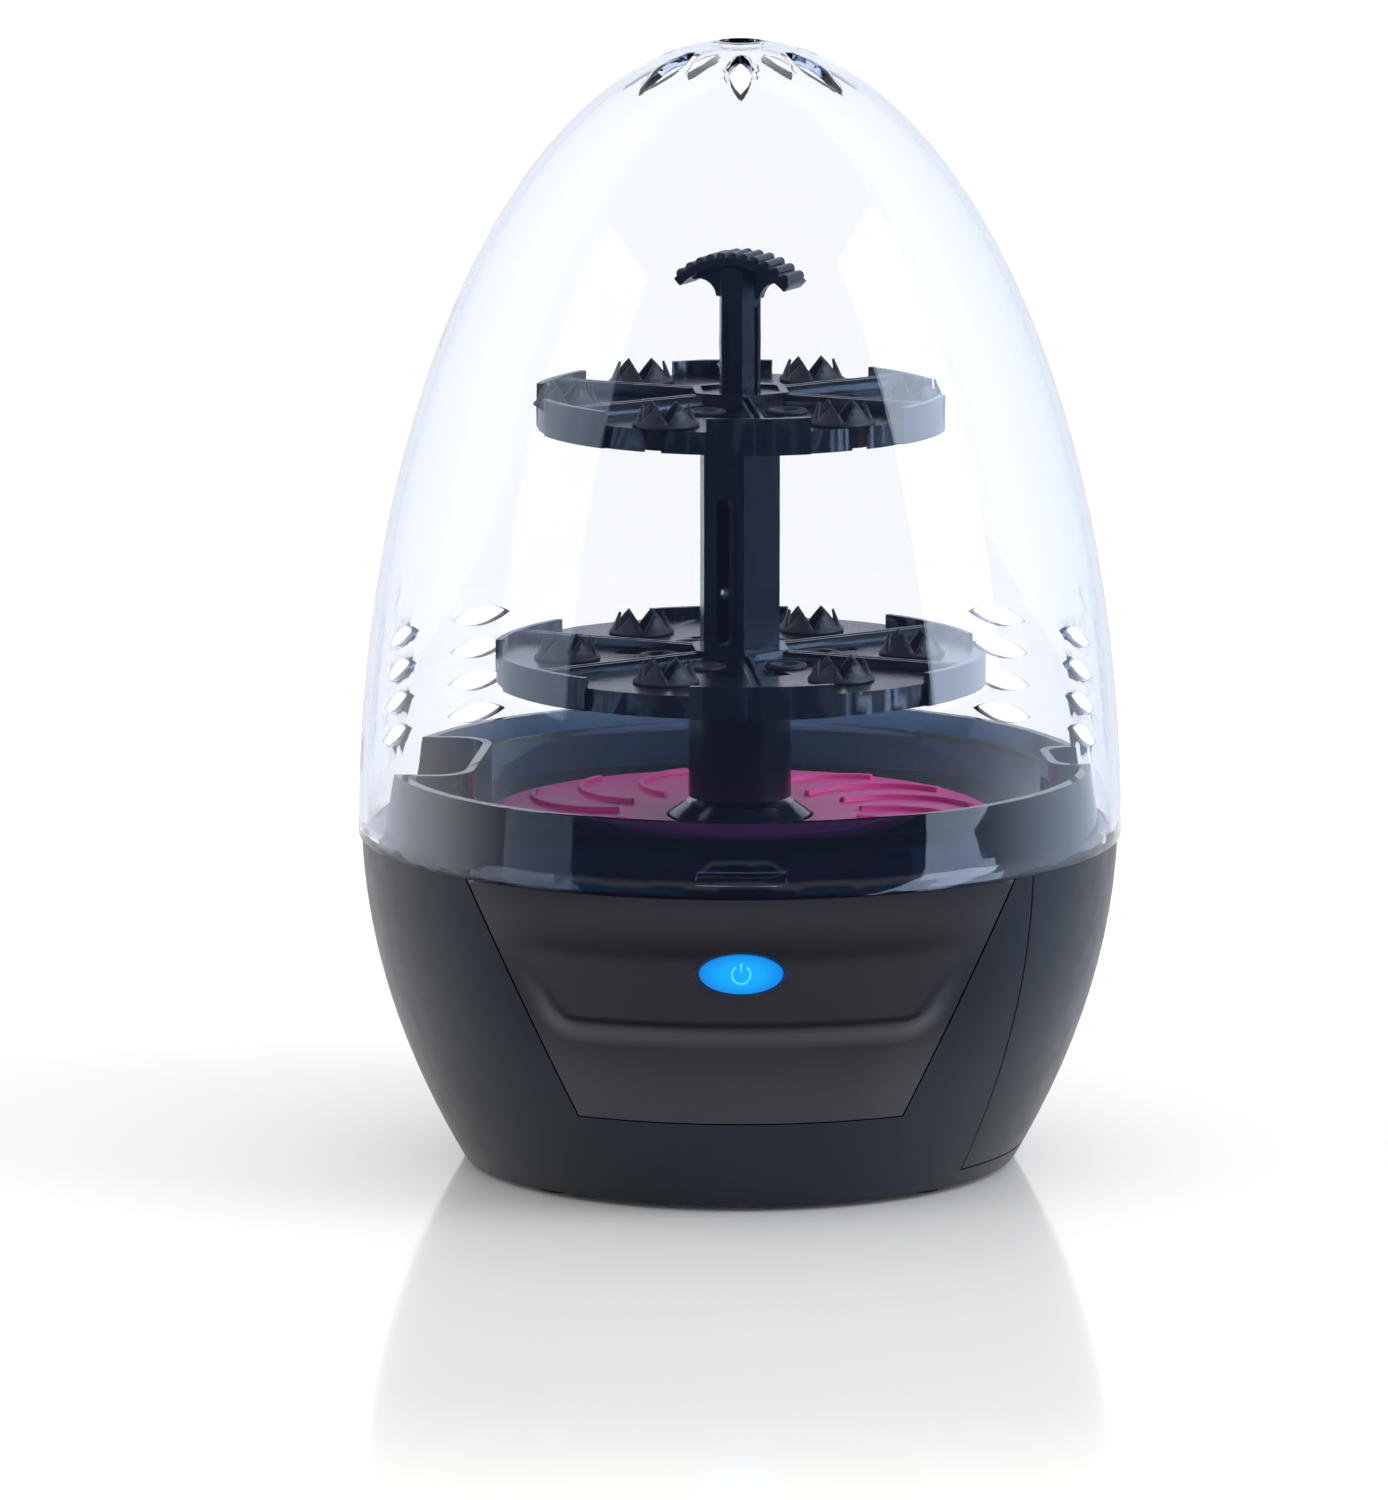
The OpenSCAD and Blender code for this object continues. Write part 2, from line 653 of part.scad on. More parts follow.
module dome() {
    foot = base_h - 0.1;
    top = 0.985;
    zo = [for (t = steps(0, 90, 30)) dome_h * sin(t)];
    zi = [for (t = steps(0, 90, 30)) (dome_h - dome_wall) * sin(t)];
    outer = [for (z = zo) [egg_r(dome_r, dome_h, z), foot + z]];
    inner = [for (z = zi) [egg_r(dome_r - dome_wall, dome_h - dome_wall, z), foot + z]];
    color([0.75, 0.85, 1, 0.3]) difference() {
        union() {
            rotate_extrude($fn = 180) polygon(concat(outer, turned(inner)));
            face(0) arc_wall(dome_r - 5, dome_r - 2, foot + 3.4, foot + 7, 6.8);
        }
        for (k = [0 : petals - 1]) face(k * 360 / petals) translate([25.5, 0, foot + dome_h * 0.8])
            linear_extrude(height = dome_h) lens(18.5, 6.6);
        translate([0, 0, foot + dome_h * 0.8]) cylinder(r = 6, h = dome_h, $fn = 48);
        for (side = [-1, 1], az = [109, 133], row = [0 : 3])
            face(side * az) translate([dome_r - 22, 0, foot + 21.5 + row * 9.7]) rotate([0, 90, 0])
                rotate([0, 0, 90]) linear_extrude(height = 40) lens(24, 6);
    }
}

base_shell();
front_panel();
access_cover();
base_plate();
rubber_feet();
base_screws();
deck();
basin_gasket();
gear_plate();
lower_bush();
upper_bush();
motor();
motor_screws();
board_bracket();
control_board();
button_switch();
button_lamp();
power_inlet();
button_bezel();
button_cap();
button_spring();
rotor_shaft();
rotor_gear();
magnet_yoke();
rotor_magnets();
motor_shaft();
motor_pinion();
basin();
centre_post();
disc_carrier();
disc_magnets();
cleaning_pad();
column();
lower_tray();
upper_tray();
lower_grips();
upper_grips();
small_grips();
mast();
handle_grip();
guide_pin();
dome();
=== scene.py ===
"""The looks of a make-up brush cleaner: materials, finer meshes, floor, light and camera.

Metres, Z up, front at -Y, as in the CAD frame.
"""

import math

import bmesh
import bpy
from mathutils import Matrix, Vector


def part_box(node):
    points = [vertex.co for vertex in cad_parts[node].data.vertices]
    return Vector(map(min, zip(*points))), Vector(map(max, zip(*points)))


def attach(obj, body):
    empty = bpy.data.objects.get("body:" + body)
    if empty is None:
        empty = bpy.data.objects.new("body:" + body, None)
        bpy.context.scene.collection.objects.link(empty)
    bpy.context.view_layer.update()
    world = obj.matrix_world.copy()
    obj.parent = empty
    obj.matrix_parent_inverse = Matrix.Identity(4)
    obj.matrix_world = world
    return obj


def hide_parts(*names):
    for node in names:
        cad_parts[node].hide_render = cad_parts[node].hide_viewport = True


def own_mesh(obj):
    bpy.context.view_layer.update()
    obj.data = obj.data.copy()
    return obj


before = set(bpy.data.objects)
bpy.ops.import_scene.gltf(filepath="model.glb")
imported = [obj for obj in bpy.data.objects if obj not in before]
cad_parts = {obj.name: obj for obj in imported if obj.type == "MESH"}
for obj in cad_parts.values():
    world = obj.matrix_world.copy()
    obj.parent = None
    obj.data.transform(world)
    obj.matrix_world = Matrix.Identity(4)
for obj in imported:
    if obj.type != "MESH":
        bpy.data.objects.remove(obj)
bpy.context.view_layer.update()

MM = 0.001


# ---------------------------------------------------------------- material builder


class Material:
    """A node material built from a Principled shader, with short calls for its links."""

    def __init__(self, name, color=(0.5, 0.5, 0.5), rough=0.5, metal=0.0, **sockets):
        self.mat = bpy.data.materials.new(name)
        self.mat.use_nodes = True
        self.tree = self.mat.node_tree
        self.shader = self.tree.nodes["Principled BSDF"]
        self.output = self.tree.nodes["Material Output"]
        self.shader.inputs["Base Color"].default_value = (*color, 1.0)
        self.shader.inputs["Roughness"].default_value = rough
        self.shader.inputs["Metallic"].default_value = metal
        for key, value in sockets.items():
            self.shader.inputs[key.replace("_", " ")].default_value = value
        self.mat.diffuse_color = (*color, 1.0)

    def node(self, kind, **settings):
        """A new node of this kind, with its settings."""
        made = self.tree.nodes.new(kind)
        for key, value in settings.items():
            setattr(made, key, value)
        return made

    def link(self, source, target):
        self.tree.links.new(source, target)

    def place(self):
        """The surface's own coordinates, in metres: the frame's, because no object is moved."""
        return self.node("ShaderNodeTexCoord").outputs["Object"]

    def noise(self, scale, detail=4.0, stretch=None):
        """Noise of this scale per metre, drawn out by stretch."""
        tex = self.node("ShaderNodeTexNoise")
        tex.inputs["Scale"].default_value = scale
        tex.inputs["Detail"].default_value = detail
        source = self.place()
        if stretch:
            mapping = self.node("ShaderNodeMapping")
            mapping.inputs["Scale"].default_value = stretch
            self.link(source, mapping.inputs["Vector"])
            source = mapping.outputs["Vector"]
        self.link(source, tex.inputs["Vector"])
        return tex.outputs["Fac"]

    def spread(self, value, low, high, start=0.2, end=0.8):
        """Maps a 0..1 value onto low..high between start and end."""
        ramp = self.node("ShaderNodeMapRange")
        ramp.inputs["From Min"].default_value = start
        ramp.inputs["From Max"].default_value = end
        ramp.inputs["To Min"].default_value = low
        ramp.inputs["To Max"].default_value = high
        self.link(value, ramp.inputs["Value"])
        return ramp.outputs["Result"]

    def bump(self, height, strength, distance, before=None):
        """Relief from a height, on top of an earlier relief."""
        node = self.node("ShaderNodeBump")
        node.inputs["Strength"].default_value = strength
        node.inputs["Distance"].default_value = distance
        self.link(height, node.inputs["Height"])
        if before:
            self.link(before, node.inputs["Normal"])
        self.link(node.outputs["Normal"], self.shader.inputs["Normal"])
        return node.outputs["Normal"]

    def tint(self, value, dark, light):
        """Base colour between dark and light, by value."""
        mix = self.node("ShaderNodeMix", data_type="RGBA")
        mix.inputs["A"].default_value = (*dark, 1.0)
        mix.inputs["B"].default_value = (*light, 1.0)
        self.link(value, mix.inputs["Factor"])
        self.link(mix.outputs["Result"], self.shader.inputs["Base Color"])


def moulded(name, color, rough, grain=0.25, size=2600.0, **sockets):
    """Moulded plastic or rubber: fine spark-eroded grain, faint mottling and uneven gloss."""
    m = Material(name, color, rough, **sockets)
    dark = tuple(c * 0.86 for c in color)
    light = tuple(min(1.0, c * 1.14 + 0.0005) for c in color)
    m.tint(m.noise(38.0, 3.0), dark, light)
    gloss = m.spread(m.noise(120.0, 5.0), rough * 0.88, min(1.0, rough * 1.12))
    m.link(gloss, m.shader.inputs["Roughness"])
    slow = m.bump(m.noise(90.0, 2.0), 0.04, 0.0003)
    m.bump(m.noise(size, 2.0), grain, 0.00002, before=slow)
    return m.mat


def metal(name, color, rough, stretch=(1, 1, 1), scale=900.0):
    """Metal with fine tool marks drawn out along one direction."""
    m = Material(name, color, rough, metal=1.0)
    lines = m.noise(scale, 3.0, stretch=stretch)
    m.link(m.spread(lines, rough * 0.75, rough * 1.3), m.shader.inputs["Roughness"])
    m.tint(m.noise(60.0), tuple(c * 0.9 for c in color), color)
    m.bump(lines, 0.15, 0.00003)
    return m.mat


def clear_plastic(name, color, rough, depth_color, depth):
    """Clear moulded plastic, tinted by its thickness. Shadow rays pass straight through."""
    m = Material(name, color, rough, Transmission_Weight=1.0, IOR=1.49)
    m.bump(m.noise(14.0, 1.0), 0.03, 0.00005)
    m.link(m.spread(m.noise(160.0, 3.0), rough, rough + 0.015), m.shader.inputs["Roughness"])
    passing = m.node("ShaderNodeBsdfTransparent")
    passing.inputs["Color"].default_value = (*color, 1.0)
    ray = m.node("ShaderNodeLightPath")
    mix = m.node("ShaderNodeMixShader")
    m.link(ray.outputs["Is Shadow Ray"], mix.inputs["Fac"])
    m.link(m.shader.outputs["BSDF"], mix.inputs[1])
    m.link(passing.outputs["BSDF"], mix.inputs[2])
    m.link(mix.outputs["Shader"], m.output.inputs["Surface"])
    soak = m.node("ShaderNodeVolumeAbsorption")
    soak.inputs["Color"].default_value = (*depth_color, 1.0)
    soak.inputs["Density"].default_value = depth
    m.link(soak.outputs["Volume"], m.output.inputs["Volume"])
    return m.mat


# ---------------------------------------------------------------- materials

COOL = (0.68, 0.81, 1.0, 1.0)  # tint of the gloss on the dark plastics
charcoal = moulded("charcoal_casing", (0.0055, 0.0065, 0.0100), 0.36, 0.20, 3200.0,
                   Specular_IOR_Level=0.39, Specular_Tint=COOL)
gunmetal = moulded("gunmetal_panel", (0.0090, 0.0085, 0.0110), 0.17, 0.06, 4200.0,
                   Specular_IOR_Level=0.66, Specular_Tint=(0.90, 0.92, 1.0, 1.0))
black = moulded("holder_plastic", (0.005, 0.0058, 0.0095), 0.24, 0.03,
                Specular_IOR_Level=0.50, Specular_Tint=COOL)
soft_black = moulded("collar_rubber", (0.012, 0.012, 0.013), 0.55, 0.40, 1800.0)
foot_rubber = moulded("foot_rubber", (0.012, 0.012, 0.012), 0.75, 0.55, 1500.0)
inner_grey = moulded("frame_plastic", (0.075, 0.078, 0.085), 0.50, 0.30)
board_green = moulded("solder_resist", (0.010, 0.090, 0.040), 0.30, 0.10)
natural = moulded("gear_acetal", (0.80, 0.77, 0.70), 0.38, 0.15)
gloss_black = moulded("polished_black", (0.012, 0.014, 0.020), 0.16, 0.06)
ring_grey = moulded("bezel_grey", (0.012, 0.022, 0.045), 0.22, 0.06)
zinc = metal("bright_zinc", (0.62, 0.62, 0.64), 0.22)
steel = metal("drawn_steel", (0.50, 0.51, 0.53), 0.30, (1, 1, 0.05))
bronze = metal("sintered_bronze", (0.60, 0.42, 0.20), 0.38)
nickel = metal("nickel_plate", (0.64, 0.63, 0.60), 0.24)
dome_clear = clear_plastic("dome_polycarbonate", (0.985, 0.990, 1.0), 0.0, (0.50, 0.66, 0.94), 68.0)
basin_smoke = clear_plastic("basin_smoke", (0.13, 0.18, 0.26), 0.01, (0.32, 0.44, 0.60), 260.0)


def pad_material():
    """Pink silicone, slightly translucent, with a fine grain."""
    m = Material("pad_silicone", (0.80, 0.05, 0.33), 0.40,
                 Subsurface_Weight=0.25, Subsurface_Scale=0.002)
    m.shader.inputs["Subsurface Radius"].default_value = (1.0, 0.3, 0.4)
    m.tint(m.noise(55.0), (0.94, 0.07, 0.29), (1.0, 0.12, 0.40))
    m.link(m.spread(m.noise(400.0), 0.34, 0.50), m.shader.inputs["Roughness"])
    m.bump(m.noise(1500.0), 0.3, 0.00006)
    return m.mat


def button_material():
    """Translucent blue cap with a painted glow: its emission, brightest in the middle and deeper at
    its edge, stands in for the lamp's light shining through it.
    """
    m = Material("button_blue", (0.0, 0.06, 0.18), 0.30, Specular_IOR_Level=0.30)
    low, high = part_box("button_cap")
    mid = [(a + b) / 2 for a, b in zip(low, high)]
    half = [(b - a) / 2 for a, b in zip(low, high)]
    shift = m.node("ShaderNodeVectorMath", operation="SUBTRACT")
    shift.inputs[1].default_value = mid
    scale = m.node("ShaderNodeVectorMath", operation="MULTIPLY")
    scale.inputs[1].default_value = (1 / half[0], 0, 1 / half[2])
    length = m.node("ShaderNodeVectorMath", operation="LENGTH")
    m.link(m.place(), shift.inputs[0])
    m.link(shift.outputs[0], scale.inputs[0])
    m.link(scale.outputs[0], length.inputs[0])
    # Painted glow: the emission fades from the middle of the cap to its edge.
    painted_glow = m.spread(length.outputs["Value"], 1.0, 0.0, 0.45, 0.9)
    mix = m.node("ShaderNodeMix", data_type="RGBA")
    mix.inputs["A"].default_value = (0.0, 0.16, 0.60, 1)
    mix.inputs["B"].default_value = (0.0, 0.34, 0.82, 1)
    m.link(painted_glow, mix.inputs["Factor"])
    m.link(mix.outputs["Result"], m.shader.inputs["Emission Color"])
    m.shader.inputs["Emission Strength"].default_value = 1.0
    m.bump(m.noise(2200.0), 0.08, 0.00003)
    return m.mat


pad_pink = pad_material()
button_blue = button_material()
lamp_blue = Material("lamp_blue", (0.2, 0.6, 1.0), 0.3,
                     Emission_Strength=2.0, Emission_Color=(0.1, 0.5, 1.0, 1)).mat

FINISH = {
    "base_shell": charcoal, "access_cover": charcoal, "base_plate": charcoal, "deck": charcoal,
    "board_bracket": inner_grey, "front_panel": gunmetal, "rubber_feet": foot_rubber,
    "basin_gasket": soft_black, "base_screws": zinc, "motor_screws": zinc, "guide_pin": zinc,
    "button_spring": zinc, "rotor_shaft": steel, "motor_shaft": steel, "magnet_yoke": steel,
    "gear_plate": inner_grey, "lower_bush": bronze, "upper_bush": bronze, "motor_pinion": bronze,
    "motor": steel, "control_board": board_green, "button_switch": black, "power_inlet": black,
    "button_lamp": lamp_blue, "button_bezel": ring_grey, "button_cap": button_blue,
    "rotor_gear": natural, "rotor_magnets": nickel, "disc_magnets": nickel, "basin": basin_smoke,
    "centre_post": gloss_black, "disc_carrier": gloss_black, "cleaning_pad": pad_pink,
    "column": black, "lower_tray": black, "upper_tray": black, "mast": black,
    "handle_grip": black, "lower_grips": soft_black, "upper_grips": soft_black,
    "small_grips": soft_black, "dome": dome_clear,
}
# Width of the rounded edges, in millimetres; the other nodes keep sharp edges
BEVEL = {
    "base_shell": 0.35, "access_cover": 0.35, "basin": 0.5, "column": 0.5,
    "lower_tray": 0.25, "upper_tray": 0.25, "mast": 0.5, "handle_grip": 0.35, "button_cap": 0.5,
    "button_bezel": 0.3, "cleaning_pad": 0.4, "dome": 0.25, "base_plate": 0.3, "motor": 0.4,
    "disc_carrier": 0.3, "gear_plate": 0.3,
}


def repaint(obj, material):
    """Gives every face this one material."""
    obj.data.materials.clear()
    obj.data.materials.append(material)
    for face in obj.data.polygons:
        face.material_index = 0


def soften(obj, width):
    """Welds the imported triangles and rounds the sharp edges by modifiers, not in the mesh."""
    weld = obj.modifiers.new("weld", "WELD")
    weld.merge_threshold = 0.000002
    if width:
        bevel = obj.modifiers.new("edges", "BEVEL")
        bevel.limit_method = "ANGLE"
        bevel.angle_limit = math.radians(28)
        bevel.width = width * MM
        bevel.segments = 2
        bevel.use_clamp_overlap = True
        bevel.harden_normals = True
        if obj.name != "dome":  # its vents would leave uneven normals beside them
            even = obj.modifiers.new("normals", "WEIGHTED_NORMAL")
            even.keep_sharp = True
    for face in obj.data.polygons:
        face.use_smooth = True


for name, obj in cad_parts.items():
    repaint(obj, FINISH[name])
    soften(obj, BEVEL.get(name, 0))


# ---------------------------------------------------------------- front panel


def smooth(x):
    """Eases 0..1."""
    x = min(1.0, max(0.0, x))
    return x * x * (3 - 2 * x)


def front_panel():
    """The gunmetal insert: a plateau with rounded lower corners on a curved sheet."""
    low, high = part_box("front_panel")
    foot, top = low.z + 0.0001, high.z - 0.0001
    half_top, half_low = high.x - 0.0003, 0.0457
    slant = (half_top - half_low) / (top - foot)
    seam_r, seam_z = 0.109, 0.096
    taper = 0.0875  # of the plateau, inwards as it goes down from the seam
    thick = 0.0029
    plateau_foot, plateau_edge, corner = 0.0525, 0.0105, 0.008
    wall_x, rise = 56, 44  # cells across and up

    def casing_r(z):
        """Outer radius of the casing at height z."""
        d = (seam_z - z) / MM
        return seam_r - (0.035 * d + 0.0029 * d * d) * MM

    def half_width(z):
        """Half the panel's width at height z."""
        return half_low + (half_top - half_low) * (z - foot) / (top - foot)

    def proud(x, z):
        """How far the plateau stands over the casing's curve at x, z."""
        full = seam_r - taper * (seam_z - z) - casing_r(z)
        edge = plateau_edge * (0.32 + 0.68 * smooth((top - z) / (top - plateau_foot)))
        side = (half_width(z) - edge * 0.35 - abs(x)) / math.hypot(1, slant)
        under = z - plateau_foot
        if side < corner and under < corner:
            inside = corner - math.hypot(corner - side, corner - under)
        else:
            inside = min(side, under)
        return max(0.0, full) * smooth(inside / (0.0030 + 0.30 * edge))

    bm = bmesh.new()
    sides = []
    for back in (False, True):
        grid = []
        for j in range(rise + 1):
            z = foot + (top - foot) * j / rise
            row = []
            for i in range(wall_x + 1):
                x = half_width(z) * (2 * i / wall_x - 1)
                r = casing_r(z) - thick if back else casing_r(z) + proud(x, z)
                row.append(bm.verts.new((x, -math.sqrt(r * r - x * x), z)))
            grid.append(row)
        sides.append(grid)
    front, rear = sides
    for j in range(rise):
        for i in range(wall_x):
            bm.faces.new((front[j][i], front[j][i + 1], front[j + 1][i + 1], front[j + 1][i]))
            bm.faces.new((rear[j][i], rear[j + 1][i], rear[j + 1][i + 1], rear[j][i + 1]))
    rim = ([(0, i) for i in range(wall_x)] + [(j, wall_x) for j in range(rise)]
           + [(rise, i) for i in range(wall_x, 0, -1)] + [(j, 0) for j in range(rise, 0, -1)])
    for (j0, i0), (j1, i1) in zip(rim, rim[1:] + rim[:1]):
        bm.faces.new((front[j1][i1], front[j0][i0], rear[j0][i0], rear[j1][i1]))
    bm.normal_update()
    obj = solid("front_panel_shell", bm, gunmetal, "base")
    cut = cutter("button_opening", "button_bezel", 0.0001)
    hole = obj.modifiers.new("button_hole", "BOOLEAN")
    hole.object = cut
    hole.solver = "EXACT"
    apply_modifiers(obj)
    bpy.data.objects.remove(cut)
    edges = obj.modifiers.new("edges", "BEVEL")
    edges.limit_method = "ANGLE"
    edges.angle_limit = math.radians(50)
    edges.width = 0.0004
    edges.segments = 3
    edges.harden_normals = True
    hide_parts("front_panel")
    return obj


def solid(name, bm, material, body):
    """Finishes a bmesh as a smooth object that rides on a body."""
    mesh = bpy.data.meshes.new(name)
    bmesh.ops.recalc_face_normals(bm, faces=bm.faces)
    bm.to_mesh(mesh)
    bm.free()
    for face in mesh.polygons:
        face.use_smooth = True
    mesh.materials.append(material)
    obj = bpy.data.objects.new(name, mesh)
    bpy.context.collection.objects.link(obj)
    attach(obj, body)
    return obj


def cutter(name, node, margin):
    """An oval prism round a node's front view, to cut its opening in another piece."""
    low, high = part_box(node)
    mid_z = (low.z + high.z) / 2
    half_x, half_z = (high.x - low.x) / 2 + margin, (high.z - low.z) / 2 + margin
    sides = 96
    bm = bmesh.new()
    ends = []
    for y in (low.y - 0.01, high.y + 0.01):
        ends.append([bm.verts.new((half_x * math.cos(math.tau * k / sides), y,
                                   mid_z + half_z * math.sin(math.tau * k / sides)))
                     for k in range(sides)])
    bm.faces.new(ends[0])
    bm.faces.new(ends[1][::-1])
    for k in range(sides):
        j = (k + 1) % sides
        bm.faces.new((ends[0][k], ends[1][k], ends[1][j], ends[0][j]))
    bmesh.ops.recalc_face_normals(bm, faces=bm.faces)
    mesh = bpy.data.meshes.new(name)
    bm.to_mesh(mesh)
    bm.free()
    obj = bpy.data.objects.new(name, mesh)
    bpy.context.collection.objects.link(obj)
    return obj


def apply_modifiers(obj):
    """Bakes an object's modifiers into its mesh."""
    bpy.context.view_layer.update()
    held = obj.evaluated_get(bpy.context.evaluated_depsgraph_get())
    mesh = bpy.data.meshes.new_from_object(held)
    obj.modifiers.clear()
    old = obj.data
    obj.data = mesh
    bpy.data.meshes.remove(old)


front_panel()


# ---------------------------------------------------------------- power symbol on the button


def power_symbol():
    """A plain ring with a bar, moulded a hair proud of the button's face."""
    low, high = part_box("button_cap")
    mid_z = (low.z + high.z) / 2
    size, half_line, proud, sunk = 0.0026, 0.00032, 0.00012, 0.0004
    face_r = 0.107  # radius of the button's curved face
    bm = bmesh.new()

    def bar(points):
        """A strip along points in the front view, closed into a thin solid on the curved face."""
        rows = []
        for k, (x, z) in enumerate(points):
            before, after = points[max(0, k - 1)], points[min(len(points) - 1, k + 1)]
            along = Vector((after[0] - before[0], after[1] - before[1])).normalized()
            row = []
            for side, depth in ((-1, -proud), (1, -proud), (1, sunk), (-1, sunk)):
                px = x - side * along.y * half_line
                pz = z + side * along.x * half_line
                curve = px * px / face_r / 2
                row.append(bm.verts.new((px, low.y + curve + depth, mid_z + pz)))
            rows.append(row)
        for first, second in zip(rows, rows[1:]):
            for c in range(4):
                bm.faces.new((first[c], first[(c + 1) % 4], second[(c + 1) % 4], second[c]))
        bm.faces.new(rows[0][::-1])
        bm.faces.new(rows[-1])

    bar([(size * math.sin(math.radians(a)), size * math.cos(math.radians(a)))
         for a in range(35, 326, 10)])
    bar([(0.0, size * 0.25), (0.0, size * 0.75), (0.0, size * 1.25)])
    # Painted glow: the symbol emits blue light of its own, standing in for the lamp behind the
    # button.
    m = Material("symbol_blue", (0.04, 0.30, 0.60), 0.3, Emission_Strength=0.8)
    m.shader.inputs["Emission Color"].default_value = (0.03, 0.42, 0.95, 1.0)
    m.bump(m.noise(1800.0), 0.1, 0.00002)
    obj = solid("power_symbol", bm, m.mat, "button")
    return obj


power_symbol()


# ---------------------------------------------------------------- return spring of the button


def return_spring():
    """The coil behind the button, in round wire."""
    low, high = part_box("button_spring")
    wire, turns, steps, sides = 0.00035, 5, 36, 10
    mid_x, mid_z = (low.x + high.x) / 2, (low.z + high.z) / 2
    coil = (high.x - low.x) / 2 - wire
    start, length = low.y + wire, high.y - low.y - 2 * wire
    back = Vector((0, 1, 0))
    bm = bmesh.new()
    rings = []
    for k in range(turns * steps + 1):
        a = math.tau * k / steps
        out = Vector((math.cos(a), 0, math.sin(a)))
        middle = Vector((mid_x, start + length * k / (turns * steps), mid_z)) + coil * out
        rings.append([bm.verts.new(middle + wire * (math.cos(b) * out + math.sin(b) * back))
                      for b in (math.tau * s / sides for s in range(sides))])
    for first, second in zip(rings, rings[1:]):
        for s in range(sides):
            t = (s + 1) % sides
            bm.faces.new((first[s], first[t], second[t], second[s]))
    bm.faces.new(rings[0][::-1])
    bm.faces.new(rings[-1])
    obj = solid("return_spring", bm, zinc, "base")
    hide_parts("button_spring")
    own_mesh(obj)
    return obj


return_spring()


# ---------------------------------------------------------------- floor, light, camera


def floor():
    """Pale polished sheet that fades into the white studio; glossy walls see only its middle."""
    steps = 64
    bm = bmesh.new()
    centre = bm.verts.new((0, 0, 0))
    rings = [[bm.verts.new((radius * math.cos(math.tau * i / steps),
                            radius * math.sin(math.tau * i / steps), 0)) for i in range(steps)]
             for radius in (0.2, 0.4, 0.62)]
    for i in range(steps):
        j = (i + 1) % steps
        bm.faces.new((centre, rings[0][i], rings[0][j]))
        for inner, outer in zip(rings, rings[1:]):
            bm.faces.new((inner[i], outer[i], outer[j], inner[j]))
    mesh = bpy.data.meshes.new("studio_floor")
    bm.to_mesh(mesh)
    bm.free()
    obj = bpy.data.objects.new("studio_floor", mesh)
    bpy.context.collection.objects.link(obj)
    for face in mesh.polygons:
        face.use_smooth = True
    m = Material("white_acrylic", (0.90, 0.875, 0.85), 0.08)
    m.link(m.spread(m.noise(3.0), 0.07, 0.11), m.shader.inputs["Roughness"])
    length = m.node("ShaderNodeVectorMath", operation="LENGTH")
    m.link(m.place(), length.inputs[0])
    seen = m.spread(length.outputs["Value"], 0.0, 1.0, 0.30, 0.58)
    mirrored = m.spread(length.outputs["Value"], 0.10, 1.0, 0.11, 0.20)
    ray = m.node("ShaderNodeLightPath")
    pick = m.node("ShaderNodeMix")
    m.link(ray.outputs["Is Glossy Ray"], pick.inputs["Factor"])
    m.link(seen, pick.inputs["A"])
    m.link(mirrored, pick.inputs["B"])
    fade = pick.outputs["Result"]
    for value in (seen, mirrored):
        value.node.interpolation_type = "SMOOTHSTEP"
    clear = m.node("ShaderNodeBsdfTransparent")
    mix = m.node("ShaderNodeMixShader")
    m.link(fade, mix.inputs["Fac"])
    m.link(m.shader.outputs["BSDF"], mix.inputs[1])
    m.link(clear.outputs["BSDF"], mix.inputs[2])
    m.link(mix.outputs["Shader"], m.output.inputs["Surface"])
    mesh.materials.append(m.mat)
    return obj


def soft_box(name, place, target, width, height, power, color):
    """A large rectangular lamp that faces target."""
    light = bpy.data.lights.new(name, "AREA")
    light.shape = "RECTANGLE"
    light.size = width
    light.size_y = height
    light.energy = power
    light.color = color
    obj = bpy.data.objects.new(name, light)
    bpy.context.collection.objects.link(obj)
    obj.location = place
    direction = Vector(target) - Vector(place)
    obj.rotation_euler = direction.to_track_quat("-Z", "Y").to_euler()
    return obj


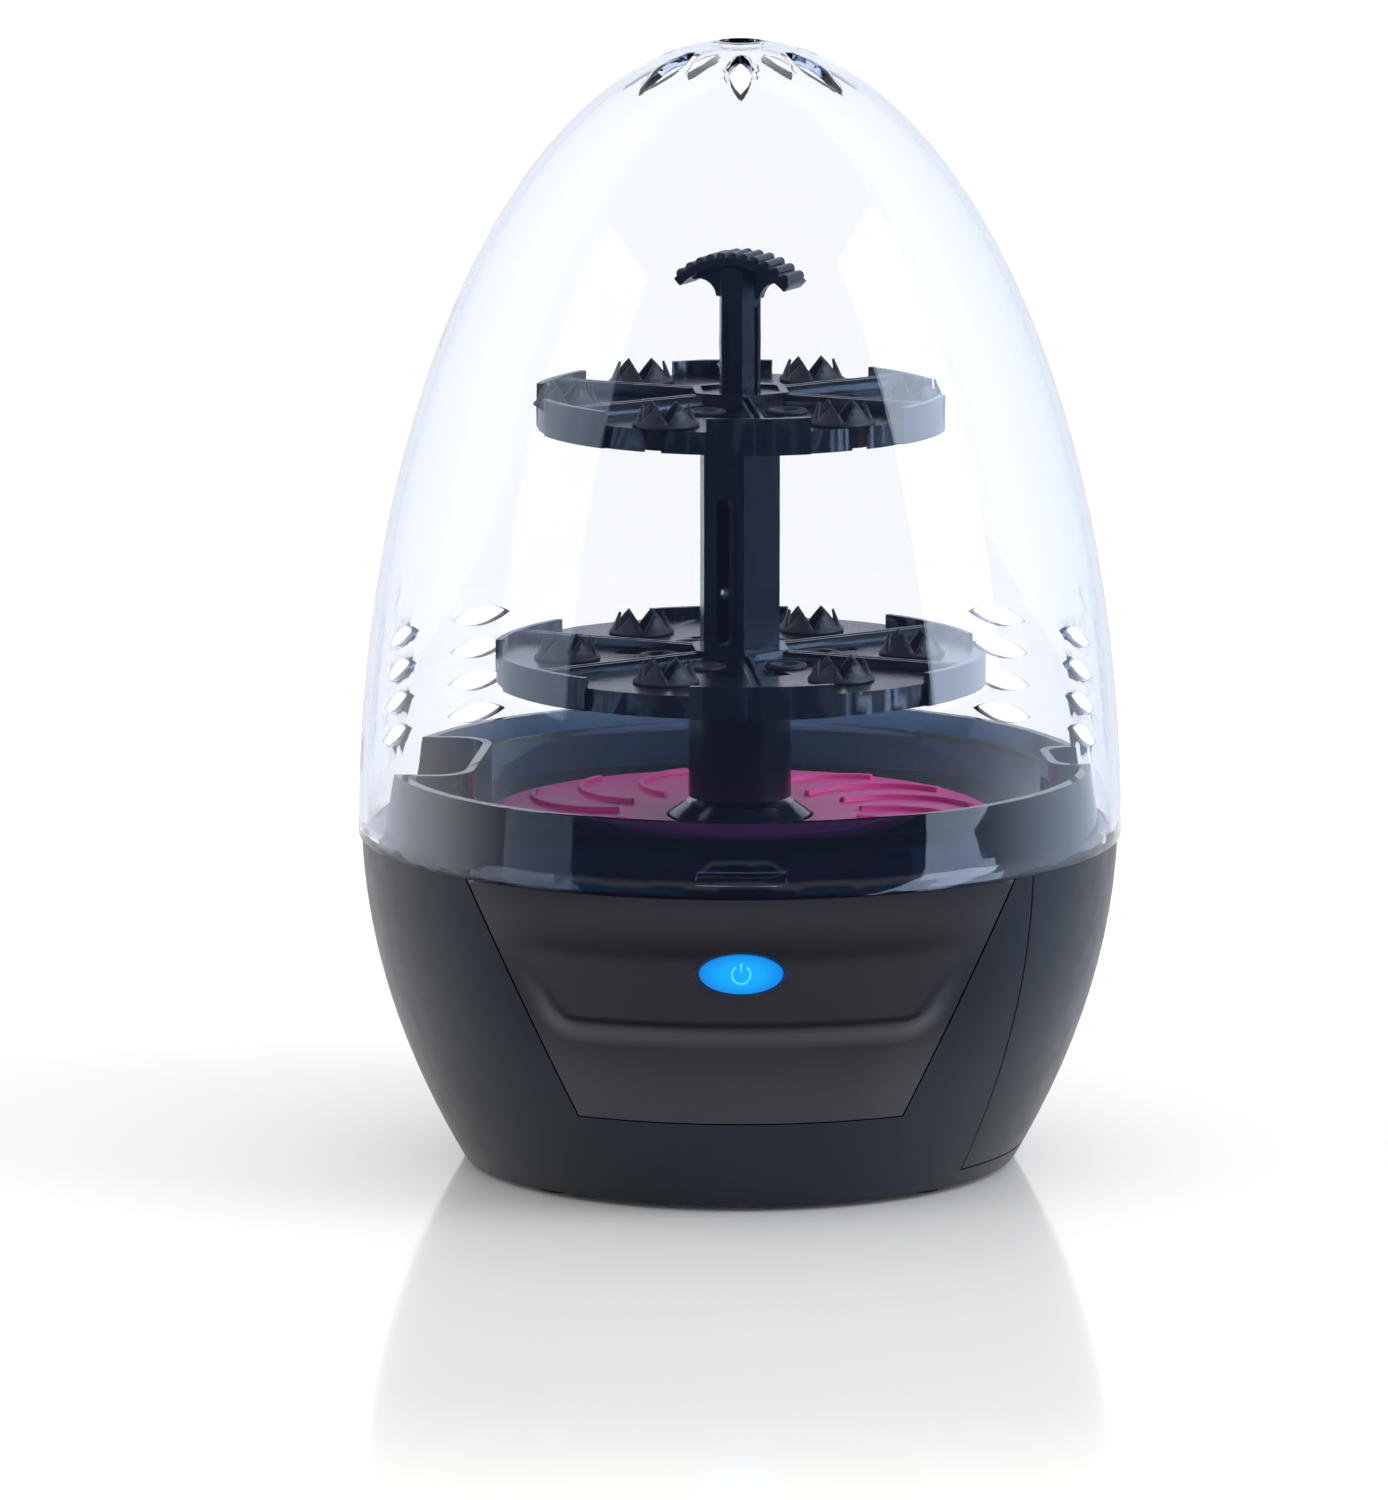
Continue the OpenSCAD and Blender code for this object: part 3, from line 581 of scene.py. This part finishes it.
def world_light():
    """White studio: full white behind and at the sides, bluish on the right, dark in front.

    In front it has one pale band below the horizon, for the panel's gloss. What is seen directly
    or through clear plastic is the plain white backdrop.
    """
    world = bpy.data.worlds.new("studio")
    bpy.context.scene.world = world
    world.use_nodes = True
    tree = world.node_tree
    back = tree.nodes["Background"]
    coord = tree.nodes.new("ShaderNodeTexCoord")
    axes = tree.nodes.new("ShaderNodeSeparateXYZ")
    tree.links.new(coord.outputs["Generated"], axes.inputs["Vector"])

    def ramp(axis, start, end):
        """0 before start and 1 after end along the axis of the direction, eased."""
        made = tree.nodes.new("ShaderNodeMapRange")
        made.interpolation_type = "SMOOTHSTEP"
        made.inputs["From Min"].default_value = start
        made.inputs["From Max"].default_value = end
        tree.links.new(axes.outputs[axis], made.inputs["Value"])
        return made.outputs["Result"]

    def blend(factor, first, second):
        """A colour between two, each a tuple or a socket."""
        mix = tree.nodes.new("ShaderNodeMix")
        mix.data_type = "RGBA"
        tree.links.new(factor, mix.inputs["Factor"])
        for key, value in (("A", first), ("B", second)):
            if isinstance(value, tuple):
                mix.inputs[key].default_value = (*value, 1.0)
            else:
                tree.links.new(value, mix.inputs[key])
        return mix.outputs["Result"]

    far = blend(ramp("X", 0.25, 0.95), (1.02, 1.03, 1.05), (0.76, 0.88, 1.06))
    band = blend(ramp("Z", -0.43, -0.33), (0.03, 0.04, 0.08), (0.62, 0.60, 0.66))
    near = blend(ramp("Z", -0.30, -0.21), band, (0.06, 0.09, 0.16))
    mirrored = blend(ramp("Y", -0.50, 0.40), near, far)
    path = tree.nodes.new("ShaderNodeLightPath")
    around = blend(path.outputs["Is Diffuse Ray"], mirrored, (1.05, 1.07, 1.06))
    bounces = tree.nodes.new("ShaderNodeMath")
    bounces.operation = "ADD"
    bounces.use_clamp = True
    tree.links.new(path.outputs["Diffuse Depth"], bounces.inputs[0])
    tree.links.new(path.outputs["Glossy Depth"], bounces.inputs[1])
    white = tree.nodes.new("ShaderNodeRGB")
    white.outputs[0].default_value = (1.32, 1.26, 1.16, 1.0)
    tree.links.new(blend(bounces.outputs["Value"], white.outputs[0], around), back.inputs["Color"])
    back.inputs["Strength"].default_value = 1.0
    world.cycles.sampling_method = "NONE"  # its light depends on the kind of ray


def camera():
    """Long lens from 3.5 m, looking 10 degrees down, with the object a little right of centre."""
    data = bpy.data.cameras.new("camera")
    data.lens = 315
    data.sensor_width = 36
    data.sensor_fit = "HORIZONTAL"
    data.clip_end = 60
    obj = bpy.data.objects.new("camera", data)
    bpy.context.collection.objects.link(obj)
    target = Vector((-0.0132, 0, 0.119))
    distance = 3.5
    pitch = math.radians(10)
    obj.location = target + distance * Vector((0, -math.cos(pitch), math.sin(pitch)))
    obj.rotation_euler = (target - obj.location).to_track_quat("-Z", "Y").to_euler()
    bpy.context.scene.camera = obj
    bpy.context.scene.view_settings.view_transform = "Standard"


floor()
world_light()
camera()
middle = (0, 0, 0.16)
soft_box("left_box", (-1.6, -0.7, 0.9), middle, 0.9, 1.6, 6, (0.72, 0.83, 1.0))
soft_box("right_box", (1.6, -0.5, 0.9), middle, 0.9, 1.6, 23, (0.76, 0.86, 1.0))
